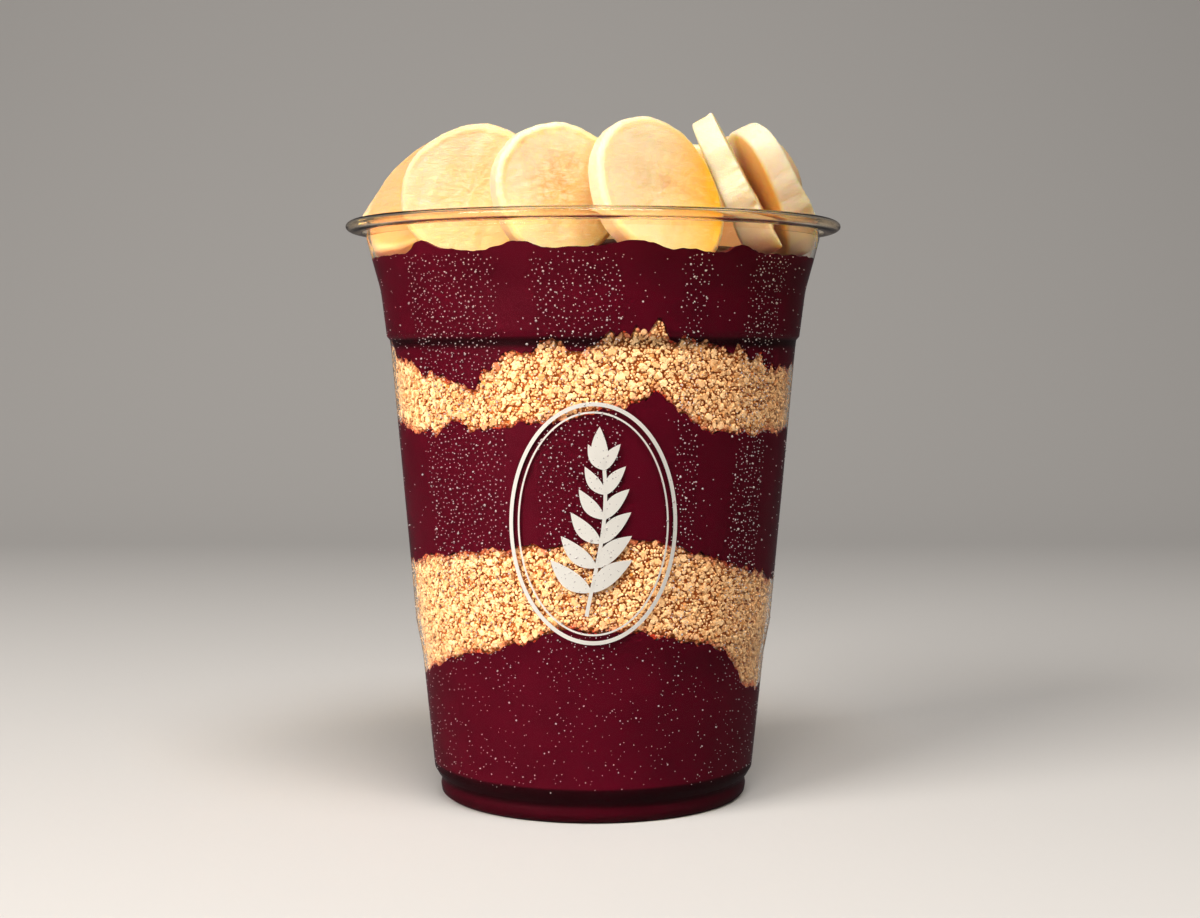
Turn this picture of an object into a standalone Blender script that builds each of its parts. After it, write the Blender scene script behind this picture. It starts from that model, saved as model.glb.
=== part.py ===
"""A clear plastic cup of layered acai and crumb, with a ring of banana slices standing on top.

Metres, +Z up. The origin is on the table under the middle of the cup, and the cup's front is -Y.
Lengths below are written in millimetres and multiplied by MM where they meet Blender.
"""

import math
import random
from collections import namedtuple

import bmesh
import bpy
from mathutils import Matrix, Vector

MM = 0.001
COLLECTION = "layered_acai_cup"
GAP = 0.3

# Cup: a thin thermoformed wall with a rolled rim and two stacking ledges, as (radius, height)
SEGMENTS = 56
WALL = 0.65
RIM_RADIUS = 49.0
CUP_HEIGHT = 114.2
FOOT_OUTER = [(29.4, 0.0), (30.4, 0.6), (30.6, 1.8), (30.4, 3.4), (31.2, 4.6), (31.95, 5.9)]
LEDGE_LOWER = [(34.3, 28.7), (35.5, 34.9)]
LEDGE_UPPER = [(40.35, 88.9), (41.0, 92.4)]
SHOULDER = [(42.2, 100.5), (43.8, 106.3), (44.95, 110.8)]
RIM_BEAD = [(44.5, 113.2), (45.6, 113.9), (47.0, CUP_HEIGHT), (48.4, 113.8), (RIM_RADIUS, 112.9),
            (48.3, 111.9), (46.6, 111.6), (45.3, 111.5)]

# Underside: the flat ring that the cup stands on, and the raised punt inside it
FOOT_INNER = 25.5
PUNT_EDGE = (24.6, 0.4)
PUNT_RADIUS = 22.0
PUNT_HEIGHT = 2.6
CHANNEL_INNER = 26.2

# Layers: where each one meets the wall, as (degrees from the front, height), good for half a turn
CRUMB_LOWER_FLOOR = [(-85, 24.2), (-61, 27.7), (-50, 30.4), (-36, 32.0), (-25, 33.9), (-9, 37.3),
                     (3, 36.2), (9, 36.9), (31, 34.3), (46, 31.9), (54, 27.8), (60, 23.4), (75, 22.0)]
CRUMB_LOWER_TOP = [(-78, 47.8), (-53, 50.1), (-33, 51.8), (-15, 52.8), (14, 54.3), (22, 52.8),
                   (32, 51.1), (44, 48.9), (60, 46.5), (77, 44.0)]
CRUMB_UPPER_FLOOR = [(-84, 74.5), (-49, 73.0), (-42, 75.4), (-36, 73.7), (-20, 75.4), (-3, 76.6),
                     (8, 78.5), (18, 81.0), (25, 76.6), (34, 73.9), (51, 72.7), (64, 72.5)]
CRUMB_UPPER_TOP = [(-80, 90.0), (-59, 85.8), (-43, 82.7), (-35, 81.7), (-29, 85.4), (-20, 88.2),
                   (-12, 89.9), (-1, 88.8), (5, 92.3), (17, 93.3), (23, 90.4), (43, 88.7),
                   (51, 87.7), (61, 84.6), (71, 85.6)]
ACAI_TOP = [(-83, 106.9), (-54, 106.8), (-47, 109.0), (-39, 107.4), (-28, 106.8), (-18, 108.5),
            (-10, 107.1), (2, 107.3), (10, 108.6), (19, 107.1), (32, 106.6), (38, 107.9), (47, 106.7)]
DOME_RISE = 2.5
CRUMB_PIT = 0.7

# Mesh lines of a layer: rings as shares of the radius, and rows as shares of the height.
# Rows below STILL don't follow the waves of the layer's top.
RINGS = [0.5, 0.88]
BASE_RINGS = [0.79, 0.89, 0.915]
BASE_ROWS = [1.0, 0.9, 0.75, 0.5]
ACAI_ROWS = [1.0, 0.82, 0.5, 0.18, 0.0]
CRUMB_ROWS = [1.0, 0.86, 0.7, 0.5, 0.3, 0.14, 0.0]
TOP_ROWS = [1.0, 0.83, 0.66, 0.45, 0.22, 0.0]
STILL = 0.3
AT_WALL = 0.99
LAYER_CREASE = 50

# Banana slices: the middle of the outer face, where it faces, how it leans in and rolls, its size,
# and its thickness, which grows by the taper at the foot and shrinks by it at the head
Slice = namedtuple("Slice", "x y z faces lean roll width height thick taper")
FRONT_SLICES = [
    Slice(-32.9, -8.2, 119.8, -134, 33, 0, 28.6, 28.6, 5.0, 0.0),
    Slice(-22.6, -26.6, 118.1, -105, 2, 12, 28.4, 25.8, 5.0, 0.0),
    Slice(-5.6, -35.3, 117.8, -69, 3, 0, 25.2, 25.6, 5.0, 0.0),
    Slice(12.7, -35.5, 117.6, -60, 15, 25, 25.0, 30.2, 4.8, 0.0),
    Slice(29.1, -20.7, 120.8, -9, 27.5, 10, 16.4, 29.4, 5.6, 1.2),
    Slice(35.6, -8.6, 119.7, 20, 27, 14, 19.8, 28.8, 4.9, 0.4),
]
SLICE_SIDES = 24
SLICE_EDGE = 0.6
SLICE_CREASE = 60
LOBES = (0.006, 0.012)
FINE_LOBES = (0.003, 0.005)

# The hidden back of the ring: angles of place and facing, then the ranges of the seeded draws
BACK_PLACES = [18, 47, 75, 102, 130, 157]
BACK_FACES = [62, 86, 110, 136, 164, 191]
BACK_SEED = 11
BACK_RADII = (32.8, 33.6)
BACK_WIDTHS = (24.4, 26.2)
BACK_HEIGHTS = (25.6, 28.0)
BACK_LOWEST = 105.2
BACK_LIFTS = (-0.3, 0.5)
BACK_LEANS = (6, 12)
BACK_ROLLS = (-12, 12)
BACK_TAPERS = (-0.5, 0.5)
BACK_THICK = 5.0


def interpolate(points, x):
    """Straight-line reading of (x, y) points, held level past both ends."""
    if x <= points[0][0]:
        return points[0][1]
    for (x0, y0), (x1, y1) in zip(points, points[1:]):
        if x <= x1:
            return y0 + (y1 - y0) * (x - x0) / (x1 - x0)
    return points[-1][1]


def wave(points, degrees):
    """Smooth height at an angle from the front; the points repeat every half turn."""
    half_turn = 180.0
    start = points[0][0]
    turned_angle = (degrees - start) % half_turn + start
    closed = points + [(points[0][0] + half_turn, points[0][1])]
    for (a0, h0), (a1, h1) in zip(closed, closed[1:]):
        if turned_angle <= a1:
            t = (turned_angle - a0) / (a1 - a0)
            return h0 + (h1 - h0) * t * t * (3.0 - 2.0 * t)
    return closed[-1][1]


def mean_height(points):
    """Average of the line's heights, which the layer has on the cup's axis."""
    return sum(height for _, height in points) / len(points)


def outer_wall():
    """Outside of the cup from the table up to the rim."""
    return FOOT_OUTER + LEDGE_LOWER + LEDGE_UPPER + SHOULDER


def inner_wall():
    """Inside of the cup from the foot's channel up to the rim, one wall thickness in."""
    return [(radius - WALL, max(height, WALL)) for radius, height in outer_wall()]


def inner_base():
    """Inside of the cup's bottom, from the raised middle down into the foot's channel."""
    return [(PUNT_RADIUS + WALL, PUNT_HEIGHT + WALL), (FOOT_INNER, PUNT_EDGE[1] + WALL),
            (CHANNEL_INNER, WALL)]


def inner_radius(height):
    """Radius of the cup's inside at a height."""
    return interpolate([(z, r) for r, z in inner_wall()], height)


def principled(name, colour, roughness, metallic=0.0, transmission=0.0):
    """Material with one Principled shader; the colour is linear RGB."""
    material = bpy.data.materials.new(name)
    material.use_nodes = True
    shader = material.node_tree.nodes["Principled BSDF"]
    shader.inputs["Base Color"].default_value = (*colour, 1.0)
    shader.inputs["Roughness"].default_value = roughness
    shader.inputs["Metallic"].default_value = metallic
    shader.inputs["Transmission Weight"].default_value = transmission
    material.diffuse_color = (*colour, 1.0)
    return material


def add_object(name, mesh, collection, material=None):
    """New object for a mesh, in a collection."""
    obj = bpy.data.objects.new(name, mesh)
    collection.objects.link(obj)
    if material:
        mesh.materials.append(material)
    return obj


def turned(name, profile, collection, material):
    """Solid turned from a profile that starts and ends on the axis and runs down its outside."""
    mesh = bpy.data.meshes.new(name)
    vertices = [(radius, 0.0, height) for radius, height in profile]
    edges = [(i, i + 1) for i in range(len(profile) - 1)]
    mesh.from_pydata(vertices, edges, [])
    obj = add_object(name, mesh, collection, material)
    screw = obj.modifiers.new("Turn", "SCREW")
    screw.steps = SEGMENTS
    screw.render_steps = SEGMENTS
    screw.use_merge_vertices = True
    screw.merge_threshold = 0.00001
    screw.use_smooth_shade = True
    return obj


def make_mesh(obj):
    """Apply an object's modifiers to its mesh."""
    graph = bpy.context.evaluated_depsgraph_get()
    mesh = bpy.data.meshes.new_from_object(obj.evaluated_get(graph))
    obj.modifiers.clear()
    obj.data = mesh


def smooth(obj, degrees=35):
    """Shade round faces smooth and keep the sharp edges."""
    obj.data.shade_smooth()
    obj.data.set_sharp_from_angle(angle=math.radians(degrees))


def build_cup(collection):
    """The cup: floor with a raised punt, foot, ledged wall and rolled rim, one turned solid."""
    inside = [(0.0, PUNT_HEIGHT + WALL)] + inner_base() + inner_wall()
    outside = list(reversed(outer_wall()))
    under = [(FOOT_INNER, 0.0), PUNT_EDGE, (PUNT_RADIUS, PUNT_HEIGHT), (0.0, PUNT_HEIGHT)]
    profile = inside + RIM_BEAD + outside + under
    scaled = [(radius * MM, height * MM) for radius, height in profile]
    clear = principled("clear_plastic", (0.80, 0.82, 0.82), 0.06, transmission=1.0)
    cup = turned("cup", scaled, collection, clear)
    make_mesh(cup)
    smooth(cup)


def split_alike(mesh):
    """Split each quad along its shorter diagonal, so that a layer's top and the next one's
    underside bend at the same lines and keep their gap."""
    work = bmesh.new()
    work.from_mesh(mesh)
    bmesh.ops.triangulate(work, faces=work.faces[:], quad_method="SHORT_EDGE")
    work.to_mesh(mesh)
    work.free()


def layer_outline(floor_rings, wall_rows):
    """Unit profile of a layer: across its top, down its side and back under it."""
    top = [(ring, 1.0) for ring in RINGS]
    side = [(1.0, row) for row in wall_rows]
    under = [(ring, 0.0) for ring in reversed(floor_rings)]
    return [(0.0, 1.0)] + top + side + under + [(0.0, 0.0)]


def build_layer(name, collection, material, floor, ceiling, outline, pits=0.0):
    """One layer: a turned unit pill whose points are moved onto its floor, ceiling and wall.

    floor and ceiling give a height for (share of the radius, degrees from the front), and pits
    is the depth of the random hollows in the side.
    """
    layer = turned(name, outline, collection, material)
    make_mesh(layer)
    draw = random.Random(name)
    calm = ceiling(0.0, 0.0)
    for vertex in layer.data.vertices:
        share = math.hypot(vertex.co.x, vertex.co.y)
        angle = math.atan2(vertex.co.x, -vertex.co.y)
        degrees = math.degrees(angle)
        row = vertex.co.z
        low = floor(share, degrees)
        lift = (ceiling(share, degrees) - calm) * max(0.0, (row - STILL) / (1.0 - STILL))
        height = low + (calm - low) * row + lift
        radius = share * (inner_radius(height) - GAP)
        if pits and share > AT_WALL and 0.0 < row < 1.0:
            radius -= pits * draw.random() ** 2
        vertex.co = Vector((radius * math.sin(angle), -radius * math.cos(angle), height)) * MM
    split_alike(layer.data)
    smooth(layer, LAYER_CREASE)
    return layer


def surface(points, offset=0.0, rise=0.0):
    """Height function of a layer's top or bottom: the wall line, calming towards the axis."""
    middle = mean_height(points)

    def height(share, degrees):
        wall_part = (wave(points, degrees) - middle) * share ** 2
        return middle + wall_part + rise * (1.0 - share ** 2) + offset

    return height


def cup_floor(share, _degrees):
    """Underside of the lowest layer, one gap above the cup's floor."""
    foot_radius = FOOT_OUTER[0][0] - WALL
    return interpolate(inner_base(), share * foot_radius) + GAP


def foot_rows():
    """Rows of the lowest layer's side at the bends of the cup's foot, highest first."""
    low = cup_floor(1.0, 0.0)
    calm = mean_height(CRUMB_LOWER_FLOOR)
    bends = [height for _, height in reversed(FOOT_OUTER) if height > low]
    return [(height - low) / (calm - low) for height in bends] + [0.0]


def build_layers(collection):
    """The five layers, lowest first, half a gap below and above each line between two.

    Returns the top one.
    """
    acai = principled("acai_puree", (0.105, 0.004, 0.016), 0.42)
    crumb = principled("ground_crumb", (0.87, 0.58, 0.29), 0.85)
    half = GAP / 2
    build_layer("acai_base", collection, acai, cup_floor, surface(CRUMB_LOWER_FLOOR, -half),
                layer_outline(BASE_RINGS, BASE_ROWS + foot_rows()))
    build_layer("crumb_lower", collection, crumb, surface(CRUMB_LOWER_FLOOR, half),
                surface(CRUMB_LOWER_TOP, -half), layer_outline(RINGS, CRUMB_ROWS), CRUMB_PIT)
    build_layer("acai_middle", collection, acai, surface(CRUMB_LOWER_TOP, half),
                surface(CRUMB_UPPER_FLOOR, -half), layer_outline(RINGS, ACAI_ROWS))
    build_layer("crumb_upper", collection, crumb, surface(CRUMB_UPPER_FLOOR, half),
                surface(CRUMB_UPPER_TOP, -half), layer_outline(RINGS, CRUMB_ROWS), CRUMB_PIT)
    return build_layer("acai_top", collection, acai, surface(CRUMB_UPPER_TOP, half),
                       surface(ACAI_TOP, 0.0, DOME_RISE), layer_outline(RINGS, TOP_ROWS))


def back_slices():
    """Slices of the hidden back, laid by one rule with small seeded differences."""
    draw = random.Random(BACK_SEED)
    slices = []
    for place, faces in zip(BACK_PLACES, BACK_FACES):
        angle = math.radians(place)
        radius = draw.uniform(*BACK_RADII)
        width = draw.uniform(*BACK_WIDTHS)
        height = draw.uniform(*BACK_HEIGHTS)
        middle = BACK_LOWEST + height / 2 + draw.uniform(*BACK_LIFTS)
        lean = draw.uniform(*BACK_LEANS)
        roll = draw.uniform(*BACK_ROLLS)
        taper = draw.uniform(*BACK_TAPERS)
        slices.append(Slice(radius * math.cos(angle), radius * math.sin(angle), middle, faces,
                            lean, roll, width, height, BACK_THICK, taper))
    return slices


def slice_matrix(item):
    """World matrix of a slice: x across its face, y up it and z straight out of it."""
    faces = math.radians(item.faces)
    lean = math.radians(item.lean)
    out = Vector((math.cos(faces) * math.cos(lean), math.sin(faces) * math.cos(lean), math.sin(lean)))
    up = Vector((-math.cos(faces) * math.sin(lean), -math.sin(faces) * math.sin(lean), math.cos(lean)))
    across = up.cross(out)
    turn = Matrix((across, up, out)).transposed().to_4x4()
    roll = Matrix.Rotation(math.radians(item.roll), 4, "Z")
    return Matrix.Translation(Vector((item.x, item.y, item.z)) * MM) @ turn @ roll


def slice_mesh(name, item, grow=0.0):
    """Uneven oval disc with its outer face at z = 0, larger all round by grow."""
    draw = random.Random(name)
    lobe = draw.uniform(*LOBES)
    lobe_turn = draw.uniform(0, 2 * math.pi)
    fine = draw.uniform(*FINE_LOBES)
    fine_turn = draw.uniform(0, 2 * math.pi)
    work = bmesh.new()
    bmesh.ops.create_cone(work, cap_ends=True, segments=SLICE_SIDES, radius1=1.0, radius2=1.0, depth=1.0)
    for vertex in work.verts:
        angle = math.atan2(vertex.co.y, vertex.co.x)
        uneven = 1.0 + lobe * math.cos(3 * angle + lobe_turn) + fine * math.cos(5 * angle + fine_turn)
        inner_face = -item.thick + item.taper * vertex.co.y - grow
        vertex.co.z = grow if vertex.co.z > 0 else inner_face
        vertex.co.x *= item.width / 2 * uneven + grow
        vertex.co.y *= item.height / 2 * uneven + grow
        vertex.co *= MM
    mesh = bpy.data.meshes.new(name)
    work.to_mesh(mesh)
    work.free()
    return mesh


def build_slice(name, item, collection, material):
    """One banana slice with its cut edges just broken."""
    obj = add_object(name, slice_mesh(name, item), collection, material)
    obj.matrix_world = slice_matrix(item)
    bevel = obj.modifiers.new("Soft edge", "BEVEL")
    bevel.width = SLICE_EDGE * MM
    bevel.segments = 1
    bevel.limit_method = "ANGLE"
    bevel.angle_limit = math.radians(SLICE_CREASE)
    smooth(obj, SLICE_CREASE)


def seat_slices(top_layer, slices, cutters):
    """Sink the slices' seats into the top layer, one gap larger than the slices all round."""
    for name, item in slices:
        seat = add_object(name + "_seat", slice_mesh(name, item, GAP), cutters)
        seat.matrix_world = slice_matrix(item)
        seat.hide_render = True
        seat.display_type = "WIRE"
    cut = top_layer.modifiers.new("Seats", "BOOLEAN")
    cut.operation = "DIFFERENCE"
    cut.operand_type = "COLLECTION"
    cut.collection = cutters
    cut.solver = "EXACT"


def main():
    for obj in list(bpy.data.objects):
        bpy.data.objects.remove(obj, do_unlink=True)
    parts = bpy.data.collections.new(COLLECTION)
    cutters = bpy.data.collections.new("cutters")
    bpy.context.scene.collection.children.link(parts)
    bpy.context.scene.collection.children.link(cutters)

    build_cup(parts)
    top_layer = build_layers(parts)
    banana = principled("banana_flesh", (0.95, 0.76, 0.40), 0.45)
    items = FRONT_SLICES + back_slices()
    slices = [("banana_slice_%02d" % (i + 1), item) for i, item in enumerate(items)]
    for name, item in slices:
        build_slice(name, item, parts, banana)
    seat_slices(top_layer, slices, cutters)


if __name__ == "__main__":
    main()
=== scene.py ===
"""Layered acai cup: the looks of a clear plastic cup of acai, crumb and banana slices.

Lengths in the constants are millimetres; MM turns them into Blender's metres. The cup stands on
z = 0 under its own axis, and its front is -Y.
"""

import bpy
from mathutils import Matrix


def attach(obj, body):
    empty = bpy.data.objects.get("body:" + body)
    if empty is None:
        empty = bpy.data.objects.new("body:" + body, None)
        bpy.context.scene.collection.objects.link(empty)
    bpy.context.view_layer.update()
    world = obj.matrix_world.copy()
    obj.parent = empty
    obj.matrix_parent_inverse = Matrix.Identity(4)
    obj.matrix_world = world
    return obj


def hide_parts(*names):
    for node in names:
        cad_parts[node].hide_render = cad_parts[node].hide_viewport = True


bl_info = {
    "name": "Layered Acai Cup",
    "version": (1, 0, 0),
    "blender": (4, 5, 0),
    "location": "View3D > Sidebar > Acai Cup",
    "description": "Builds a clear cup of acai and crumb layers with standing banana slices",
    "category": "Add Mesh",
}

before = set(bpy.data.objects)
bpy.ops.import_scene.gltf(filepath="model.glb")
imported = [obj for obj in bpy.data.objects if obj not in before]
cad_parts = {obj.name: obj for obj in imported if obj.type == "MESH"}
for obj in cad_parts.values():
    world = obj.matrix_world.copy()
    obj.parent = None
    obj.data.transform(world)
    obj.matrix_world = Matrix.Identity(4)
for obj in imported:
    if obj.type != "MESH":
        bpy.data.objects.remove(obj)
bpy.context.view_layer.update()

import math
from collections import namedtuple

import bpy
import numpy as np
from bpy.props import FloatProperty, FloatVectorProperty, IntProperty, PointerProperty
from mathutils import Vector, noise

MM = 0.001
BODY = "root"
FULL_TURN = 2.0 * math.pi

# The cup's outside from the middle of its underside up to the rim: radius, height, corner radius
WALL_OUTSIDE = [
    (0.0, 2.6, 0.0), (22.0, 2.6, 1.2), (24.6, 0.4, 0.5), (25.5, 0.0, 0.5), (29.4, 0.0, 0.6),
    (30.5, 0.7, 0.6), (30.7, 2.0, 1.0), (30.4, 3.5, 0.5), (31.2, 4.4, 0.4), (31.95, 5.7, 0.7),
    (34.25, 28.4, 6.0), (35.5, 34.9, 6.0), (40.25, 89.2, 0.5), (40.45, 90.7, 0.3), (41.05, 91.4, 0.4),
    (42.2, 100.5, 20.0), (43.8, 106.3, 12.0), (44.95, 110.8, 4.0), (44.75, 112.95, 0.0),
]
# The rolled rim is an oval curl, given by its middle, its half width and height, and where it ends
CURL_MIDDLE = (46.65, 112.95)
CURL_HALF = (2.35, 1.25)
CURL_END = -112.0
RIM_FOOT = 111.0
CURL_WALL = 0.45

# Where the layers meet the wall: degrees from the front and height, good for half a turn
CRUMB_LOWER_FLOOR = [(-85, 24.2), (-61, 27.7), (-50, 30.4), (-36, 32.0), (-25, 33.9), (-9, 37.3),
                     (3, 36.2), (9, 36.9), (31, 34.3), (46, 31.9), (54, 27.8), (60, 23.4), (75, 22.0)]
CRUMB_LOWER_TOP = [(-78, 47.8), (-53, 50.1), (-33, 51.8), (-15, 52.8), (14, 54.3), (22, 52.8),
                   (32, 51.1), (44, 48.9), (60, 46.5), (77, 44.0)]
CRUMB_UPPER_FLOOR = [(-84, 74.5), (-49, 73.0), (-42, 75.4), (-36, 73.7), (-20, 75.4), (-3, 76.6),
                     (8, 78.5), (18, 81.0), (25, 76.6), (34, 73.9), (51, 72.7), (64, 72.5)]
CRUMB_UPPER_TOP = [(-80, 90.0), (-59, 85.8), (-43, 82.7), (-35, 81.7), (-29, 85.4), (-20, 88.2),
                   (-12, 89.9), (-1, 88.8), (5, 92.3), (17, 93.3), (23, 90.4), (43, 88.7),
                   (51, 87.7), (61, 84.6), (71, 85.6)]
ACAI_TOP = [(-83, 106.9), (-54, 106.8), (-47, 109.0), (-39, 107.4), (-28, 106.8), (-18, 108.5),
            (-10, 107.1), (2, 107.3), (10, 108.6), (19, 107.1), (32, 106.6), (38, 107.9), (47, 106.7)]
DOME_RISE = 2.5
# Depth, place and width of the groove that the top layer has just inside the wall
GROOVE = (1.7, 0.85, 0.1)
# Upright bands of the wall where condensation stands thickly, in degrees, good for half a turn
WET_BANDS = [(-55.0, -24.0), (-16.0, 8.0), (22.0, 30.5), (42.5, 58.0)]
INTO_WALL = 0.15
INTO_FOOT = 0.5
# Heights between which painted shade darkens the foot's undercut and the ledge under the shoulder,
# with the painted brightness just under each
PAINTED_SHADE_BANDS = [(3.6, 6.6, 0.6), (89.7, 90.9, 1.0)]
# Painted shade: the brightness at the very bottom of the cup, darker towards the foot
PAINTED_FOOT_SHADE = 0.5
BACKDROP = 1.1
MERGE = 0.002

SLICES = ["banana_slice_%02d" % (number + 1) for number in range(12)]


def linear(code):
    """Linear RGB of an sRGB hex colour."""
    parts = [int(code[i:i + 2], 16) / 255.0 for i in (1, 3, 5)]
    return tuple(c / 12.92 if c <= 0.04045 else ((c + 0.055) / 1.055) ** 2.4 for c in parts)


def deselect_all():
    """Leave nothing selected, so that an operator acts on its own piece alone."""
    if bpy.context.object and bpy.context.object.mode != "OBJECT":
        bpy.ops.object.mode_set(mode="OBJECT")
    bpy.ops.object.select_all(action="DESELECT")


def activate(obj):
    """Select one object and make it active."""
    deselect_all()
    obj.select_set(True)
    bpy.context.view_layer.objects.active = obj


def read_points(mesh):
    """A mesh's points in millimetres."""
    points = np.empty(len(mesh.vertices) * 3)
    mesh.vertices.foreach_get("co", points)
    return points.reshape(-1, 3) / MM


def write_points(mesh, points):
    """Set a mesh's points, given in millimetres."""
    mesh.vertices.foreach_set("co", (np.asarray(points) * MM).ravel())
    mesh.update()


def pick(obj, test):
    """In edit mode, select the vertices whose place passes a test, and what lies between them."""
    bpy.ops.object.mode_set(mode="OBJECT")
    mesh = obj.data
    chosen = [bool(test(vertex.co)) for vertex in mesh.vertices]
    mesh.vertices.foreach_set("select", chosen)
    mesh.edges.foreach_set("select", [all(chosen[i] for i in edge.vertices) for edge in mesh.edges])
    mesh.polygons.foreach_set("select", [all(chosen[i] for i in face.vertices) for face in mesh.polygons])
    bpy.ops.object.mode_set(mode="EDIT")


def drawn_line(name, outline):
    """A line of (radius, height) points in millimetres, extruded point by point."""
    deselect_all()
    bpy.ops.mesh.primitive_plane_add(size=MM, location=(outline[0][0] * MM, 0.0, outline[0][1] * MM))
    obj = bpy.context.object
    obj.name = name
    obj.data.name = name
    bpy.ops.object.transform_apply(location=True, rotation=True, scale=True)
    bpy.ops.object.mode_set(mode="EDIT")
    bpy.ops.mesh.select_all(action="SELECT")
    bpy.ops.mesh.merge(type="CENTER")
    for step in np.diff(outline, axis=0) * MM:
        bpy.ops.mesh.extrude_region_move(TRANSFORM_OT_translate={"value": (step[0], 0.0, step[1])})
    bpy.ops.object.mode_set(mode="OBJECT")
    return obj


def turned(name, outline, steps):
    """A closed solid, turned about the upright axis from an outline that starts and ends on it."""
    obj = drawn_line(name, outline)
    screw = obj.modifiers.new("Turn", "SCREW")
    screw.angle = FULL_TURN
    screw.steps = screw.render_steps = steps
    screw.use_merge_vertices = True
    screw.merge_threshold = MERGE * MM
    bpy.ops.object.modifier_apply(modifier=screw.name)
    bpy.ops.object.mode_set(mode="EDIT")
    bpy.ops.mesh.select_all(action="SELECT")
    bpy.ops.mesh.remove_doubles(threshold=MERGE * MM)
    bpy.ops.mesh.normals_make_consistent(inside=False)
    bpy.ops.object.mode_set(mode="OBJECT")
    return obj


def reshape(obj, place):
    """Move a turned solid's points; place takes their radius, angle from the front, and height."""
    points = read_points(obj.data)
    radius = np.hypot(points[:, 0], points[:, 1])
    write_points(obj.data, place(radius, np.arctan2(points[:, 0], -points[:, 1]), points[:, 2]))


def around(radius, angle, height):
    """Points at a radius, an angle from the front towards +X, and a height."""
    return np.stack([radius * np.sin(angle), -radius * np.cos(angle), height], axis=-1)


def smooth_by_angle(obj, degrees):
    """Smooth shading that keeps edges sharper than an angle."""
    activate(obj)
    bpy.ops.object.shade_smooth_by_angle(angle=math.radians(degrees))


def finish_piece(obj, material, nodes=()):
    """Give a piece its material and finish slot, and let it ride and stand for its CAD nodes."""
    obj.data.materials.clear()
    obj.data.materials.append(material)
    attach(obj, BODY)
    if nodes:
        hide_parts(*nodes)


def store(obj, name, values, kind="FLOAT"):
    """Keep one value or vector for each point of a mesh, for its material to read."""
    attribute = obj.data.attributes.new(name, kind, "POINT")
    key = "vector" if kind == "FLOAT_VECTOR" else "value"
    attribute.data.foreach_set(key, np.asarray(values, dtype=np.float32).ravel())


def add(material, kind, inputs=None, **settings):
    """Add a node. inputs gives each socket a value, or another node's output to link to it."""
    node = material.node_tree.nodes.new(kind)
    for key, value in settings.items():
        setattr(node, key, value)
    for socket, value in (inputs or {}).items():
        if isinstance(value, bpy.types.NodeSocket):
            material.node_tree.links.new(value, node.inputs[socket])
        else:
            node.inputs[socket].default_value = value
    return node


def new_material(name):
    """Empty node material."""
    material = bpy.data.materials.new(name)
    material.use_nodes = True
    material.node_tree.nodes.clear()
    return material


def rgba(colour):
    """Linear colour with full alpha."""
    return (*tuple(colour)[:3], 1.0)


# Cup

def rounded(corners, steps=5):
    """Outline through (radius, height, corner radius) points, with each corner turned by an arc."""
    outline = [np.array(corners[0][:2])]
    for before, here, after in zip(corners, corners[1:], corners[2:]):
        a, p, b = (np.array(corner[:2], float) for corner in (before, here, after))
        to_a, to_b = a - p, b - p
        reach_a, reach_b = np.linalg.norm(to_a), np.linalg.norm(to_b)
        to_a, to_b = to_a / reach_a, to_b / reach_b
        half = math.acos(np.clip(to_a @ to_b, -1, 1)) / 2
        run = min(here[2] / math.tan(half), 0.49 * reach_a, 0.49 * reach_b)
        start, end = p + to_a * run, p + to_b * run
        for step in range(steps + 1):
            t = step / steps
            outline.append((1 - t) ** 2 * start + 2 * t * (1 - t) * p + t ** 2 * end)
    outline.append(np.array(corners[-1][:2]))
    return np.array(outline)


def offset_outline(outline, distance):
    """An outline moved sideways to its left by a distance."""
    run = np.gradient(outline, axis=0)
    run /= np.linalg.norm(run, axis=1)[:, None]
    return outline + distance * np.stack([-run[:, 1], run[:, 0]], axis=1)


def sheet_sides(wall):
    """Outer and inner side of the cup's sheet up to the rim, as (radius, height) outlines."""
    outer = rounded(WALL_OUTSIDE)
    inner = offset_outline(outer, wall)
    inner[0] = (0.0, outer[0, 1] + wall)
    return outer, inner


def wall_radius(height, side):
    """Radius of one side of the wall at heights in millimetres."""
    foot = np.nonzero(side[:, 1] < side[:, 1].min() + 0.02)[0][-1]
    rising = side[foot:]
    return np.interp(height, rising[:, 1], rising[:, 0])


def curl(inset, steps=40):
    """Outline of the rolled rim, from the wall over the top to its tucked-in end."""
    angles = np.radians(np.linspace(180.0, CURL_END, steps))
    half_width, half_height = CURL_HALF[0] - inset, CURL_HALF[1] - inset
    radii = CURL_MIDDLE[0] + half_width * np.cos(angles)
    return np.stack([radii, CURL_MIDDLE[1] + half_height * np.sin(angles)], axis=1)


def clear_pet(name, tint, refraction):
    """PET sheet, thermoformed: clear, glossy and thin, so what lies behind it stays sharp.

    Shadow rays pass it, because thin clear sheet throws hardly any shadow.
    """
    material = new_material(name)
    sheet = add(material, "ShaderNodeBsdfPrincipled", {
        "Base Color": rgba(tint), "Roughness": 0.03, "IOR": refraction,
        "Transmission Weight": 1.0})
    passing = add(material, "ShaderNodeBsdfTransparent", {"Color": rgba(tint)})
    path = add(material, "ShaderNodeLightPath")
    both = add(material, "ShaderNodeMixShader", {
        0: path.outputs["Is Shadow Ray"], 1: sheet.outputs[0], 2: passing.outputs[0]})
    add(material, "ShaderNodeOutputMaterial", {"Surface": both.outputs[0]})
    return material


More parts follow.
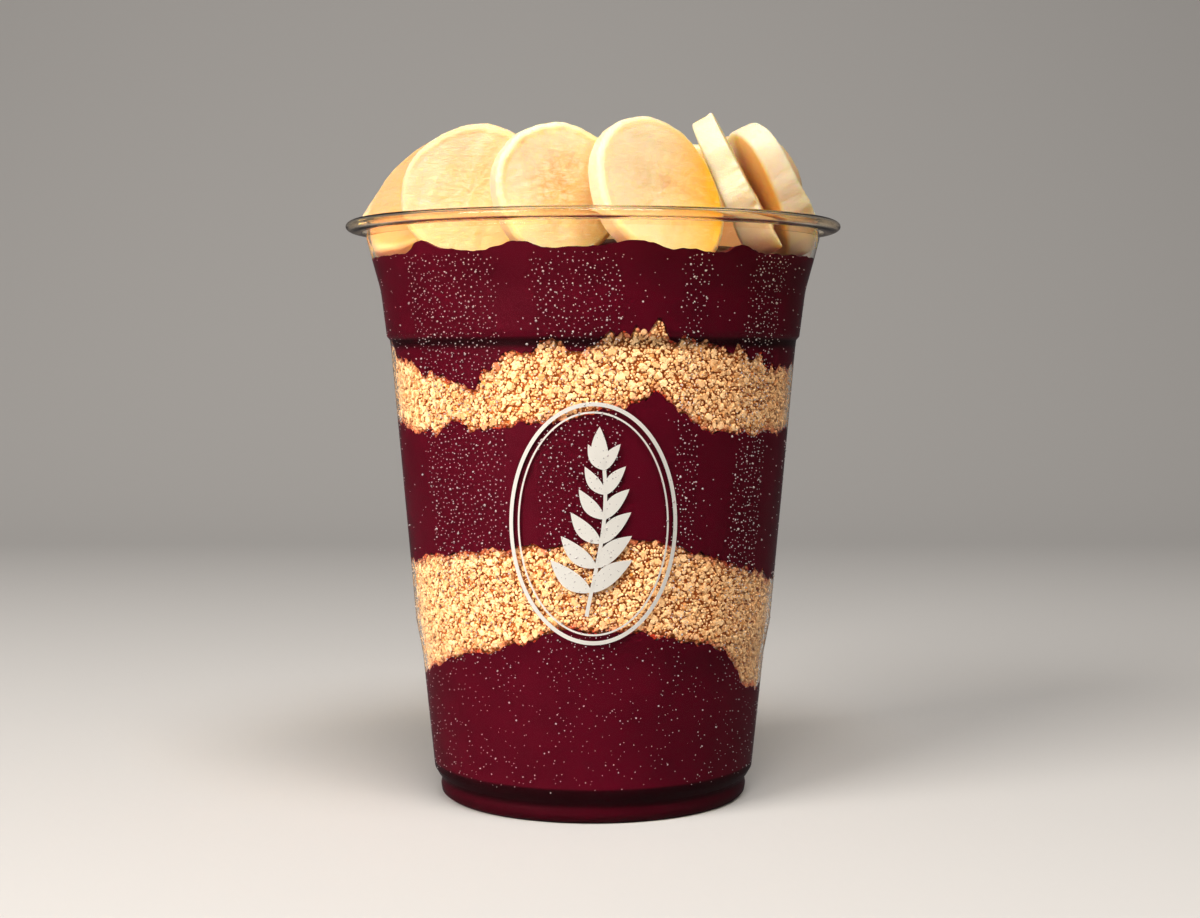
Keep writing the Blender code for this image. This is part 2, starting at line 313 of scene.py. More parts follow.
def make_shell(look):
    """The cup: one thin sheet with a punt, foot, ledges and a rolled rim."""
    outer, inner = sheet_sides(look.wall / MM)
    visible, hidden = curl(0.0), curl(CURL_WALL)
    outline = np.vstack([inner[:-1], visible, hidden[::-1], outer[::-1][1:]])
    cup = turned("cup_shell", outline, look.round_steps)
    smooth_by_angle(cup, 50)
    finish_piece(cup, clear_pet("thermoformed_clear_pet", look.pet, look.pet_ior), ["cup"])
    cup.data.materials.append(clear_pet("rolled_pet_rim", look.rim, look.rim_ior))
    for face in cup.data.polygons:
        face.material_index = int(face.center.z > RIM_FOOT * MM)


# Layers

def wave(points, degrees):
    """Smooth height at angles from the front; the points repeat every half turn."""
    angles = np.array([point[0] for point in points] + [points[0][0] + 180.0])
    heights = np.array([point[1] for point in points] + [points[0][1]])
    turned = (degrees - angles[0]) % 180.0 + angles[0]
    left = np.clip(np.searchsorted(angles, turned, side="right") - 1, 0, len(points) - 1)
    t = (turned - angles[left]) / (angles[left + 1] - angles[left])
    return heights[left] + (heights[left + 1] - heights[left]) * t * t * (3.0 - 2.0 * t)


def ripple(angle, seed, size, counts):
    """Small unevenness round the cup: one cosine for each count of waves, thinner as they shorten."""
    draw = np.random.default_rng(seed)
    total = np.zeros_like(angle)
    for count in counts:
        total += np.cos(count * angle + draw.uniform(0, FULL_TURN)) * draw.uniform(0.5, 1.0)
    return size * total / len(counts) ** 0.5


def broken(angle, seed, size, count):
    """Broken line round the cup, with a random height at each of its equal steps."""
    knots = np.random.default_rng(seed).uniform(-size, size, count)
    place = (angle / FULL_TURN) % 1.0 * count
    left = place.astype(int)
    t = place - left
    return knots[left % count] * (1.0 - t) + knots[(left + 1) % count] * t


# How ragged each line is, as a share of the most
RAGGED = {id(CRUMB_LOWER_FLOOR): 0.8, id(CRUMB_LOWER_TOP): 1.0, id(CRUMB_UPPER_FLOOR): 1.0,
          id(CRUMB_UPPER_TOP): 1.9, id(ACAI_TOP): 0.3}


def line_height(points, angle):
    """Height of the line where two layers meet the wall, with its fine raggedness."""
    fine = broken(angle, len(points), 0.6, 128) + broken(angle, len(points) + 1, 0.5, 300)
    return wave(points, np.degrees(angle)) + RAGGED[id(points)] * fine


def layer_height(points, share, angle, rise=0.0):
    """Height of a layer's top or floor, which calms from the wall towards the axis."""
    middle = sum(point[1] for point in points) / len(points)
    wall_part = (line_height(points, angle) - middle) * share ** 2
    return middle + wall_part + rise * (1.0 - share ** 2)


def plain_layer(rings, rows):
    """Outline of a layer before it is shaped: radius 1, height 1, from its top's middle round."""
    top = [(share, 1.0) for share in np.linspace(0.0, 1.0, rings + 1)]
    side = [(1.0, level) for level in np.linspace(1.0, 0.0, rows + 1)[1:]]
    under = [(share, 0.0) for share in np.linspace(1.0, 0.0, rings + 1)[1:]]
    return np.array(top + side + under)


def make_layer(name, look, floor, ceiling, into_wall, rings=14, rows=24, rise=0.0, lumps=0.0):
    """A layer between two lines on the wall; a floor of None follows the cup's own floor."""
    _, inner = sheet_sides(look.wall / MM)
    base = inner[:int(np.argmin(inner[:, 1])) + 1]
    foot = inner[int(np.argmin(inner[:, 1])):, 0].min() + 4.5

    def place(share, angle, level):
        high = layer_height(ceiling, share, angle, rise)
        if floor is None:
            low = np.interp(share * foot, base[:, 0], base[:, 1]) - INTO_FOOT
        else:
            low = layer_height(floor, share, angle)
        height = low + (high - low) * level
        deeper = np.interp(height, [3.0, 8.0], [INTO_FOOT, into_wall])
        radius = share * (wall_radius(height, inner) + deeper)
        if lumps:
            height = height - GROOVE[0] * np.exp(-((share - GROOVE[1]) / GROOVE[2]) ** 2) * (level > 0.999)
            bumps = np.array([noise.noise(Vector(point) * 0.16) for point in around(radius, angle, height)])
            height = height + np.where((level > 0.999) & (share < 0.97), lumps * bumps, 0.0)
        return around(radius, angle, height)

    layer = turned(name, plain_layer(rings, rows), look.round_steps)
    reshape(layer, place)
    return layer


def painted_undercut_shade(material, spot):
    """Painted shade: brightness that dips in the cup's undercuts and at its very bottom, read from Object
    coordinates.
    """
    height = add(material, "ShaderNodeSeparateXYZ", {0: spot.outputs["Object"]})
    reach = add(material, "ShaderNodeMapRange", {"Value": height.outputs["Z"], "From Max": 100 * MM})
    ramp = add(material, "ShaderNodeValToRGB", {0: reach.outputs[0]})
    stops = ramp.color_ramp.elements
    stops[0].color = (PAINTED_FOOT_SHADE, PAINTED_FOOT_SHADE, PAINTED_FOOT_SHADE, 1.0)
    stops[1].color = (1.0, 1.0, 1.0, 1.0)
    for low, high, under in PAINTED_SHADE_BANDS:
        for place, level in ((low - 0.9, under), (low, 0.2), (high, 0.2), (high + 0.4, 1.0)):
            stops.new(place / 100.0).color = (level, level, level, 1.0)
    return ramp.outputs[0]


def frozen_puree(look):
    """Frozen acai puree, blended smooth: dark and dense.

    Against the wall it wets the sheet, so it has hardly any gloss of its own there. Painted shade darkens
    it in the cup's undercuts and at its very bottom.
    """
    material = new_material("blended_acai_puree")
    spot = add(material, "ShaderNodeTexCoord")
    cloud = add(material, "ShaderNodeTexNoise", {
        "Vector": spot.outputs["Object"], "Scale": 1.0 / (9.0 * MM), "Detail": 3.0})
    fleck = add(material, "ShaderNodeTexNoise", {
        "Vector": spot.outputs["Object"], "Scale": 1.0 / (0.8 * MM), "Detail": 2.0})
    dull = add(material, "ShaderNodeMix", {
        0: cloud.outputs["Fac"], 6: rgba(look.puree_deep), 7: rgba(look.puree)}, data_type="RGBA")
    # Painted shade: the puree's colour multiplied by the darker bands at the cup's undercuts
    shaded = add(material, "ShaderNodeMix", {
        0: 1.0, 6: dull.outputs[2], 7: painted_undercut_shade(material, spot)},
        data_type="RGBA", blend_type="MULTIPLY")
    bump = add(material, "ShaderNodeBump", {
        "Height": fleck.outputs["Fac"], "Strength": 0.25, "Distance": 0.15 * MM})
    flesh = add(material, "ShaderNodeBsdfPrincipled", {
        "Base Color": shaded.outputs[2], "Roughness": 0.4, "Specular IOR Level": 0.06,
        "Normal": bump.outputs["Normal"]})
    add(material, "ShaderNodeOutputMaterial", {"Surface": flesh.outputs[0]})
    return material


def make_puree(look):
    """The three acai layers, each reaching just into the wall."""
    material = frozen_puree(look)
    base = make_layer("acai_base_fill", look, None, CRUMB_LOWER_FLOOR, INTO_WALL, rows=40)
    middle = make_layer("acai_middle_fill", look, CRUMB_LOWER_TOP, CRUMB_UPPER_FLOOR, INTO_WALL)
    top = make_layer("acai_top_fill", look, CRUMB_UPPER_TOP, ACAI_TOP, INTO_WALL,
                     rings=40, rise=DOME_RISE, lumps=0.5)
    for layer, node in ((base, "acai_base"), (middle, "acai_middle"), (top, "acai_top")):
        smooth_by_angle(layer, 60)
        finish_piece(layer, material, [node])


def ground_crumb(look):
    """Biscuit ground to crumb: dry, matte and pale, browner where baked, red where puree soaks in. Its
    baked brown is partly painted shade in the pits of the core, and painted shade darkens it at the cup's
    undercuts.
    """
    material = new_material("ground_biscuit_crumb")
    tint = add(material, "ShaderNodeAttribute", attribute_name="tint")
    soak = add(material, "ShaderNodeAttribute", attribute_name="soak")
    spot = add(material, "ShaderNodeTexCoord")
    patch = add(material, "ShaderNodeTexNoise", {
        "Vector": spot.outputs["Object"], "Scale": 1.0 / (0.7 * MM), "Detail": 4.0})
    spotted = add(material, "ShaderNodeMapRange", {
        "Value": patch.outputs["Fac"], "From Min": 0.58, "From Max": 0.72, "To Max": 0.75})
    dry = add(material, "ShaderNodeMix", {
        0: tint.outputs["Fac"], 6: rgba(look.crumb_baked_and_pit_shade), 7: rgba(look.crumb)}, data_type="RGBA")
    flecked = add(material, "ShaderNodeMix", {
        0: spotted.outputs[0], 6: dry.outputs[2], 7: rgba(look.crumb_baked_and_pit_shade)}, data_type="RGBA")
    stained = add(material, "ShaderNodeMix", {
        0: soak.outputs["Fac"], 6: flecked.outputs[2], 7: rgba(look.crumb_soaked)}, data_type="RGBA")
    # Painted shade: the crumb's colour multiplied by the darker bands at the cup's undercuts, at six tenths
    # of their depth
    shaded = add(material, "ShaderNodeMix", {
        0: 0.6, 6: stained.outputs[2], 7: painted_undercut_shade(material, spot)},
        data_type="RGBA", blend_type="MULTIPLY")
    grain = add(material, "ShaderNodeBsdfPrincipled", {
        "Base Color": shaded.outputs[2], "Roughness": 0.85, "Specular IOR Level": 0.2})
    add(material, "ShaderNodeOutputMaterial", {"Surface": grain.outputs[0]})
    return material


def grain_shape(subdivisions):
    """Points and faces of one grain, modelled once and read from its primitive."""
    deselect_all()
    bpy.ops.mesh.primitive_ico_sphere_add(subdivisions=subdivisions, radius=1.0)
    seed = bpy.context.object
    points = read_points(seed.data) * MM
    faces = np.array([tuple(face.vertices) for face in seed.data.polygons])
    bpy.data.objects.remove(seed, do_unlink=True)
    return points, faces


def joined_copies(name, shape, centres, sizes, draw, uneven):
    """One mesh of many turned, uneven copies of a shape."""
    points, faces = shape
    count = len(centres)
    spins = draw.normal(size=(count, 4))
    spins /= np.linalg.norm(spins, axis=1)[:, None]
    w, x, y, z = spins.T
    turns = np.stack([
        1 - 2 * (y * y + z * z), 2 * (x * y - z * w), 2 * (x * z + y * w),
        2 * (x * y + z * w), 1 - 2 * (x * x + z * z), 2 * (y * z - x * w),
        2 * (x * z - y * w), 2 * (y * z + x * w), 1 - 2 * (x * x + y * y)], axis=1)
    turns = turns.reshape(-1, 3, 3)
    stretch = draw.uniform(0.72, 1.25, size=(count, 1, 3))
    rough = draw.uniform(1.0 - uneven, 1.0 + uneven, size=(count, len(points), 1))
    copies = (points[None] * stretch * rough) @ turns.transpose(0, 2, 1)
    placed = (copies * sizes[:, None, None] + centres[:, None]).reshape(-1, 3)
    indices = (faces[None] + (np.arange(count) * len(points))[:, None, None]).reshape(-1, 3)
    mesh = bpy.data.meshes.new(name)
    mesh.from_pydata((placed * MM).tolist(), [], indices.tolist())
    mesh.update()
    obj = bpy.data.objects.new(name, mesh)
    bpy.context.scene.collection.objects.link(obj)
    return obj


def press_to_wall(obj, inner, reach):
    """Flatten against the wall whatever would stand further out than it."""
    points = read_points(obj.data)
    radius = np.hypot(points[:, 0], points[:, 1])
    most = wall_radius(points[:, 2], inner) + reach
    share = np.where(points[:, 2] < RIM_FOOT + 2.0, np.minimum(1.0, most / radius), 1.0)
    points[:, :2] *= share[:, None]
    write_points(obj.data, points)


def even_spots(low, high, pitch, draw, side):
    """Jittered places at an even distance over the wall between two heights."""
    spots = []
    for index, height in enumerate(np.arange(low, high, pitch * 0.866)):
        count = int(FULL_TURN * wall_radius(height, side) / pitch)
        angles = (np.arange(count) + 0.5 * (index % 2)) * FULL_TURN / count
        spots.append(np.stack([angles, np.full(count, height)], axis=1))
    spots = np.vstack(spots)
    spots[:, 0] += draw.uniform(-0.36, 0.36, len(spots)) * pitch / wall_radius(spots[:, 1], side)
    spots[:, 1] += draw.uniform(-0.36, 0.36, len(spots)) * pitch
    return spots


def scatter_spots(floor, ceiling, pitch, margin, draw, inner):
    """Places over the band of wall between two lines, as angles and heights."""
    low = min(point[1] for point in floor) - 2.0
    high = max(point[1] for point in ceiling) + 2.0
    spots = even_spots(low, high, pitch, draw, inner)
    slack = draw.normal(0.0, margin, len(spots))
    above = spots[:, 1] > line_height(floor, spots[:, 0]) + slack
    below = spots[:, 1] < line_height(ceiling, spots[:, 0]) - slack
    return spots[above & below]


def lay_grains(name, look, shape, spots, radii, sink, floor, ceiling, draw, material, node):
    """Grains of one kind lying against the wall, with their tint and how far puree soaks them."""
    _, inner = sheet_sides(look.wall / MM)
    depth = wall_radius(spots[:, 1], inner) - radii * draw.uniform(*sink, len(spots))
    centres = around(depth, spots[:, 0], spots[:, 1])
    grains = joined_copies(name, shape, centres, radii, draw, 0.22)
    press_to_wall(grains, inner, 0.05)
    edge = np.minimum(spots[:, 1] - line_height(floor, spots[:, 0]),
                      line_height(ceiling, spots[:, 0]) - spots[:, 1])
    soak = np.clip(1.0 - edge / draw.uniform(0.8, 2.2, len(spots)), 0.0, 1.0) ** 1.2
    tint = np.clip(draw.normal(0.78, 0.26, len(spots)), 0.0, 1.0)
    store(grains, "soak", np.repeat(soak, len(shape[0])))
    store(grains, "tint", np.repeat(tint, len(shape[0])))
    finish_piece(grains, material, [node])


def make_crumb(look):
    """Both crumb layers: a recessed core, and grains and clumps pressed against the wall."""
    _, inner = sheet_sides(look.wall / MM)
    material = ground_crumb(look)
    fine, coarse = grain_shape(1), grain_shape(2)
    bands = (("crumb_lower", CRUMB_LOWER_FLOOR, CRUMB_LOWER_TOP, 3),
             ("crumb_upper", CRUMB_UPPER_FLOOR, CRUMB_UPPER_TOP, 5))
    for node, floor, ceiling, seed in bands:
        draw = np.random.default_rng(seed)
        core = make_layer(node + "_core", look, floor, ceiling, -look.recess / MM, rows=20)
        # Tint 0 gives the core the full baked brown, which is partly painted shade in the pits between the
        # grains
        store(core, "tint", np.zeros(len(core.data.vertices)))
        store(core, "soak", np.full(len(core.data.vertices), 0.35))
        finish_piece(core, material, [node])
        spots = scatter_spots(floor, ceiling, look.grain_pitch / MM, 0.35, draw, inner)
        radii = np.clip(draw.lognormal(math.log(look.grain / MM / 2), 0.3, len(spots)), 0.18, 0.7)
        for side, chosen in (("front", np.cos(spots[:, 0]) > 0), ("back", np.cos(spots[:, 0]) <= 0)):
            lay_grains("%s_grains_%s" % (node, side), look, fine, spots[chosen], radii[chosen],
                       (-0.1, 1.6), floor, ceiling, draw, material, node)
        spots = scatter_spots(floor, ceiling, 2.3, 0.3, draw, inner)
        radii = draw.uniform(0.4, 0.85, len(spots))
        lay_grains(node + "_clumps", look, coarse, spots, radii, (0.3, 1.1), floor, ceiling,
                   draw, material, node)


# Banana slices

def plane_groups(mesh):
    """The two flat faces of a slice, as (normal, middle, point numbers), largest first."""
    count = len(mesh.polygons)
    normals = np.empty(count * 3)
    areas = np.empty(count)
    middles = np.empty(count * 3)
    mesh.polygons.foreach_get("normal", normals)
    mesh.polygons.foreach_get("area", areas)
    mesh.polygons.foreach_get("center", middles)
    normals, middles = normals.reshape(-1, 3), middles.reshape(-1, 3) / MM
    alike = (normals @ normals.T) > 0.9995
    weight = alike @ areas
    groups = []
    first = int(np.argmax(weight))
    second = int(np.argmax(np.where(normals @ normals[first] < -0.95, weight, 0.0)))
    for pick in (first, second):
        members = np.nonzero(alike[pick])[0]
        corners = sorted({v for face in members for v in mesh.polygons[face].vertices})
        middle = (middles[members] * areas[members, None]).sum(0) / areas[members].sum()
        groups.append((normals[pick], middle, corners))
    return groups


def measure_slice(node):
    """Place, axes, outline and thickness of a slice, read from its CAD node."""
    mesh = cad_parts[node].data
    points = read_points(mesh)
    groups = plane_groups(mesh)
    groups.sort(key=lambda group: -(group[0][:2] @ group[1][:2]))
    (out, middle, _), (_, _, back) = groups
    up = np.array([0.0, 0.0, 1.0]) - out[2] * out
    up /= np.linalg.norm(up)
    across = np.cross(up, out)
    local = (points - middle) @ np.stack([across, up, out], axis=1)
    reach, turn = np.hypot(local[:, 0], local[:, 1]), np.arctan2(local[:, 1], local[:, 0])
    apart = np.abs((turn[:, None] - turn[None] + math.pi) % FULL_TURN - math.pi)
    longest = np.where(apart < math.radians(5), reach[None], 0.0).max(1)
    rim = reach > longest - 0.05
    outline = np.linalg.lstsq(harmonics(turn[rim]), reach[rim], rcond=None)[0]
    plane = np.column_stack([np.ones(len(back)), local[back, :2]])
    depth = np.linalg.lstsq(plane, -local[back, 2], rcond=None)[0]
    return {"middle": middle, "axes": np.stack([across, up, out]), "outline": outline, "depth": depth}


def harmonics(turn):
    """Columns of the periodic curve that an outline is fitted with."""
    columns = [np.ones_like(turn)]
    for count in range(1, 6):
        columns += [np.cos(count * turn), np.sin(count * turn)]
    return np.stack(columns, axis=1)


FACE_LEVEL, EDGE_LEVEL = 2.0, 1.0

# How each front slice looks, which the back repeats: how round its cut edge is; the side, in degrees,
# where the next slice lies on it, and how much painted golden shade that puts on its outer and inner
# face; how warm its flesh is; how clearly its heart is netted; how torn its edge is; how far its foot
# is pressed out and how far its lower corner is, in millimetres
SliceLook = namedtuple("SliceLook", "edge side outer inner warm net torn foot corner")
SLICE_LOOKS = [
    SliceLook(1.0, 0, 0.25, 0.4, 0.9, 0.1, 0.3, 1.2, 3.2),
    SliceLook(1.3, -10, 0.45, 0.4, 0.45, 0.35, 0.3, 0.0, 0.0),
    SliceLook(1.1, -20, 0.55, 0.4, 0.0, 0.8, 0.5, 0.0, 0.0),
    SliceLook(1.2, -5, 1.0, 0.4, 0.1, 0.3, 0.4, 0.0, 0.0),
    SliceLook(0.5, 0, 0.4, 0.5, 0.1, 0.3, 1.6, 0.0, 0.0),
    SliceLook(0.8, 180, 0.5, 0.6, 0.0, 0.3, 0.6, 2.4, 0.0),
]


def plain_slice():
    """Outline of a slice before it is shaped: flat radius 1, then its rounded edge out to 2.

    Heights from 2 to 1 are the near edge, 1 to -1 the side and -1 to -2 the far edge.
    """
    quarter = np.radians(np.linspace(15, 90, 6))
    face = [(share, FACE_LEVEL) for share in np.linspace(0.0, 1.0, 26)]
    near = [(1.0 + math.sin(a), EDGE_LEVEL + math.cos(a)) for a in quarter]
    side = [(2.0, level) for level in np.linspace(1.0, -1.0, 9)[1:-1]]
    far = [(radius, -level) for radius, level in near[::-1]]
    back = [(share, -FACE_LEVEL) for share in np.linspace(1.0, 0.0, 16)]
    return np.array(face + near + side + far + back)


def slice_relief(x, y, share, seed):
    """Height of a cut face: fine roughness, long ridges of the knife, and a sunk heart with rays."""
    turn = np.arctan2(y, x)
    tilt = math.radians(37.0 * seed)
    along = x * math.cos(tilt) + y * math.sin(tilt)
    over = y * math.cos(tilt) - x * math.sin(tilt)
    rough = np.array([noise.fractal(Vector((a * 0.9, b * 0.9, seed * 7.1)), 0.8, 2.1, 4)
                      for a, b in zip(x, y)])
    ridges = np.array([noise.noise(Vector((a * 0.09, b * 0.42, seed * 3.7)))
                       for a, b in zip(along, over)])
    heart = np.exp(-(share / 0.3) ** 2) * (0.7 + 0.3 * np.cos(3 * turn + seed))
    rays = np.cos(34 * turn + 3 * rough) * np.exp(-((share - 0.45) / 0.22) ** 2)
    strokes = np.array([noise.noise(Vector((a * 0.16, b * 1.3, seed * 5.3))) for a, b in zip(along, over)])
    return 0.08 * rough + 0.24 * ridges + 0.04 * strokes - 0.15 * heart + 0.02 * rays - 0.12


def banana_flesh(look):
    """Banana cut with a knife: moist, dense flesh that light sinks into.

    Its rim is palest, seed hairs and threads mark its heart, and painted golden shade colours it where
    the next slice lies on it.
    """
    material = new_material("knife_cut_banana_flesh")
    local = add(material, "ShaderNodeAttribute", attribute_name="flesh")
    share = add(material, "ShaderNodeAttribute", attribute_name="share")
    painted_contact_shade = add(material, "ShaderNodeAttribute", attribute_name="painted_contact_shade")
    skin = add(material, "ShaderNodeAttribute", attribute_name="skin")
    warmth = add(material, "ShaderNodeAttribute", attribute_name="warmth")
    netted = add(material, "ShaderNodeAttribute", attribute_name="netted")
    cloud = add(material, "ShaderNodeTexNoise", {
        "Vector": local.outputs["Vector"], "Scale": 0.22, "Detail": 3.0})
    fibre = add(material, "ShaderNodeTexNoise", {
        "Vector": local.outputs["Vector"], "Scale": 1.4, "Detail": 5.0, "Roughness": 0.65,
        "Distortion": 1.6})
    drawn = add(material, "ShaderNodeMapping", {
        "Vector": local.outputs["Vector"], "Rotation": (0.0, 0.0, 0.9), "Scale": (0.4, 1.5, 1.0)})
    strokes = add(material, "ShaderNodeTexNoise", {
        "Vector": drawn.outputs[0], "Scale": 0.9, "Detail": 6.0, "Roughness": 0.7, "Distortion": 1.2})
    warped = add(material, "ShaderNodeMix", {
        0: 0.5, 4: local.outputs["Vector"], 5: fibre.outputs["Color"]}, data_type="VECTOR")
    net = add(material, "ShaderNodeTexVoronoi", {
        "Vector": warped.outputs[1], "Scale": 1.1}, feature="DISTANCE_TO_EDGE")
    thread = add(material, "ShaderNodeMapRange", {
        "Value": net.outputs["Distance"], "From Min": 0.26, "From Max": 0.0, "To Max": 0.7})
    dark_stroke = add(material, "ShaderNodeMapRange", {
        "Value": strokes.outputs["Fac"], "From Min": 0.5, "From Max": 0.66})
    light_stroke = add(material, "ShaderNodeMapRange", {
        "Value": strokes.outputs["Fac"], "From Min": 0.48, "From Max": 0.34, "To Max": 0.6})
    heart = add(material, "ShaderNodeMapRange", {
        "Value": share.outputs["Fac"], "From Min": 0.85, "From Max": 0.2},
        interpolation_type="SMOOTHSTEP")
    broken_up = add(material, "ShaderNodeMapRange", {
        "Value": cloud.outputs["Fac"], "From Min": 0.34, "From Max": 0.5})
    uneven = add(material, "ShaderNodeMath", {
        0: cloud.outputs["Fac"], 1: 0.35, 2: warmth.outputs["Fac"]}, operation="MULTIPLY_ADD")
    pale = add(material, "ShaderNodeMix", {
        0: uneven.outputs[0], 6: rgba(look.flesh), 7: rgba(look.flesh_warm)}, data_type="RGBA")
    warm_share = add(material, "ShaderNodeMath", {
        0: heart.outputs[0], 1: 0.16}, operation="MULTIPLY")
    warm = add(material, "ShaderNodeMix", {
        0: warm_share.outputs[0], 6: pale.outputs[2], 7: rgba(look.heart)}, data_type="RGBA")
    # Painted shade: the flesh turns golden where the next slice lies on this face
    with_contact_shade = add(material, "ShaderNodeMix", {
        0: painted_contact_shade.outputs["Fac"], 6: warm.outputs[2], 7: rgba(look.painted_contact_shade)}, data_type="RGBA")
    marks = add(material, "ShaderNodeMath", {
        0: thread.outputs[0], 1: dark_stroke.outputs[0]}, operation="MAXIMUM")
    hearted = add(material, "ShaderNodeMath", {
        0: marks.outputs[0], 1: heart.outputs[0]}, operation="MULTIPLY")
    patched = add(material, "ShaderNodeMath", {
        0: hearted.outputs[0], 1: broken_up.outputs[0]}, operation="MULTIPLY")
    marked_share = add(material, "ShaderNodeMath", {
        0: patched.outputs[0], 1: netted.outputs["Fac"]}, operation="MULTIPLY")
    marked = add(material, "ShaderNodeMix", {
        0: marked_share.outputs[0], 6: with_contact_shade.outputs[2], 7: rgba(look.heart)}, data_type="RGBA")
    streak = add(material, "ShaderNodeMath", {
        0: light_stroke.outputs[0], 1: netted.outputs["Fac"]}, operation="MULTIPLY")
    streaked = add(material, "ShaderNodeMix", {
        0: streak.outputs[0], 6: marked.outputs[2], 7: rgba(look.flesh)}, data_type="RGBA")
    peeled = add(material, "ShaderNodeMix", {
        0: skin.outputs["Fac"], 6: streaked.outputs[2], 7: rgba(look.skin)}, data_type="RGBA")
    bump = add(material, "ShaderNodeBump", {
        "Height": strokes.outputs["Fac"], "Strength": 0.5, "Distance": 0.3 * MM})
    flesh = add(material, "ShaderNodeBsdfPrincipled", {
        "Base Color": peeled.outputs[2], "Roughness": 0.4, "Subsurface Weight": look.glow,
        "Subsurface Radius": (1.0, 0.6, 0.16), "Subsurface Scale": look.glow_depth,
        "Normal": bump.outputs["Normal"]})
    add(material, "ShaderNodeOutputMaterial", {"Surface": flesh.outputs[0]})
    return material


def make_slice(node, seed, look, material):
    """One banana slice in the place and outline of its CAD node."""
    facts = measure_slice(node)
    own = SLICE_LOOKS[(seed - 1) % len(SLICE_LOOKS)]
    edge = look.edge / MM * own.edge
    _, inner = sheet_sides(look.wall / MM)

    def place(radius, angle, level):
        share, past = np.minimum(radius, 1.0), np.maximum(radius - 1.0, 0.0) * edge
        turn = math.pi / 2 - angle
        full = harmonics(turn) @ facts["outline"]
        torn = own.torn * broken(turn, seed + 50, 0.22, 64) * np.clip(2.0 * level - 1.0, 0.0, 1.0)
        crinkle = (ripple(turn, seed, 0.05, (29, 43, 61)) + broken(turn, seed + 20, 0.32, 11)
                   + broken(turn, seed, 0.16, 23) + torn - 0.15) * np.clip(share * 3 - 2, 0, 1)
        low_left = np.exp(-((np.degrees(turn) % 360.0 - 225.0) / 28.0) ** 2)
        reach = share * (full - edge + own.corner * low_left) + past + crinkle
        x, y = reach * np.cos(turn), reach * np.sin(turn)
        thick = facts["depth"] @ np.stack([np.ones_like(x), x, y])
        relief = slice_relief(x, y, share, seed)
        down_edge = (FACE_LEVEL - np.abs(level)) * edge
        foot = own.foot * np.clip((6.0 - y) / 14.0, 0.35, 1.0)
        near = relief * (share < 1.0) - down_edge + foot
        far = down_edge - thick - 0.6 * relief * (share < 1.0)
        middle = -thick / 2 + (thick / 2 - edge) * level
        height = np.where(level > EDGE_LEVEL, near, np.where(level < -EDGE_LEVEL, far, middle))
        return facts["middle"] + np.stack([x, y, height], axis=1) @ facts["axes"]

    piece = turned(node + "_cut", plain_slice(), look.slice_steps)
    reshape(piece, place)
    press_to_wall(piece, inner, 0.05)
    local = (read_points(piece.data) - facts["middle"]) @ facts["axes"].T
    turn = np.arctan2(local[:, 1], local[:, 0])
    full = harmonics(turn) @ facts["outline"]
    share = np.hypot(local[:, 0], local[:, 1]) / full
    thick = facts["depth"] @ np.stack([np.ones_like(turn), local[:, 0], local[:, 1]])
    # How much painted golden shade each face gets, outer or inner, towards the side where the next slice
    # lies
    contact_shade_amount = np.where(local[:, 2] > -thick / 2, own.outer, own.inner)
    lean = np.cos(turn - math.radians(own.side)) * share
    store(piece, "share", share)
    store(piece, "painted_contact_shade", contact_shade_amount * np.clip((lean + 0.15) / 0.95, 0.0, 1.0) ** 1.2)
    skin = np.clip((share - 0.93) / 0.05, 0.0, 1.0)
    store(piece, "skin", skin * (1.0 - 0.7 * own.warm))
    store(piece, "warmth", np.full_like(share, own.warm))
    store(piece, "netted", np.full_like(share, own.net))
    store(piece, "flesh", local + seed * 40.0, "FLOAT_VECTOR")
    smooth_by_angle(piece, 70)
    finish_piece(piece, material, [node])


def make_slices(look):
    """The ring of standing banana slices."""
    material = banana_flesh(look)
    for seed, node in enumerate(SLICES):
        make_slice(node, seed + 1, look, material)


# Condensation

def still_water(look):
    """Condensed water: small, partly clear beads that catch the light in their gloss; their whitish diffuse
    share is a painted glint.
    """
    material = new_material("condensed_water_beads")
    # A whitish, partly diffuse colour beside the transmission: a painted glint that makes the beads show as
    # pale specks
    bead = add(material, "ShaderNodeBsdfPrincipled", {
        "Base Color": rgba(look.bead), "Roughness": 0.15, "IOR": 1.33, "Transmission Weight": 0.45})
    add(material, "ShaderNodeOutputMaterial", {"Surface": bead.outputs[0]})
    return material


def wet_share(angle, height):
    """How thickly beads stand at a place: upright bands that are dense, and clearer ones between."""
    degrees = (np.degrees(angle) + 90.0) % 180.0 - 90.0
    inside = np.zeros_like(degrees)
    for start, end in WET_BANDS:
        inside = np.maximum(inside, np.clip(np.minimum(degrees - start, end - degrees), 0.0, 1.0))
    upper = np.interp(height, [20.0, 45.0], [0.0, 1.0])
    return (1.0 - upper) * 0.25 + upper * (0.06 + 0.84 * inside)


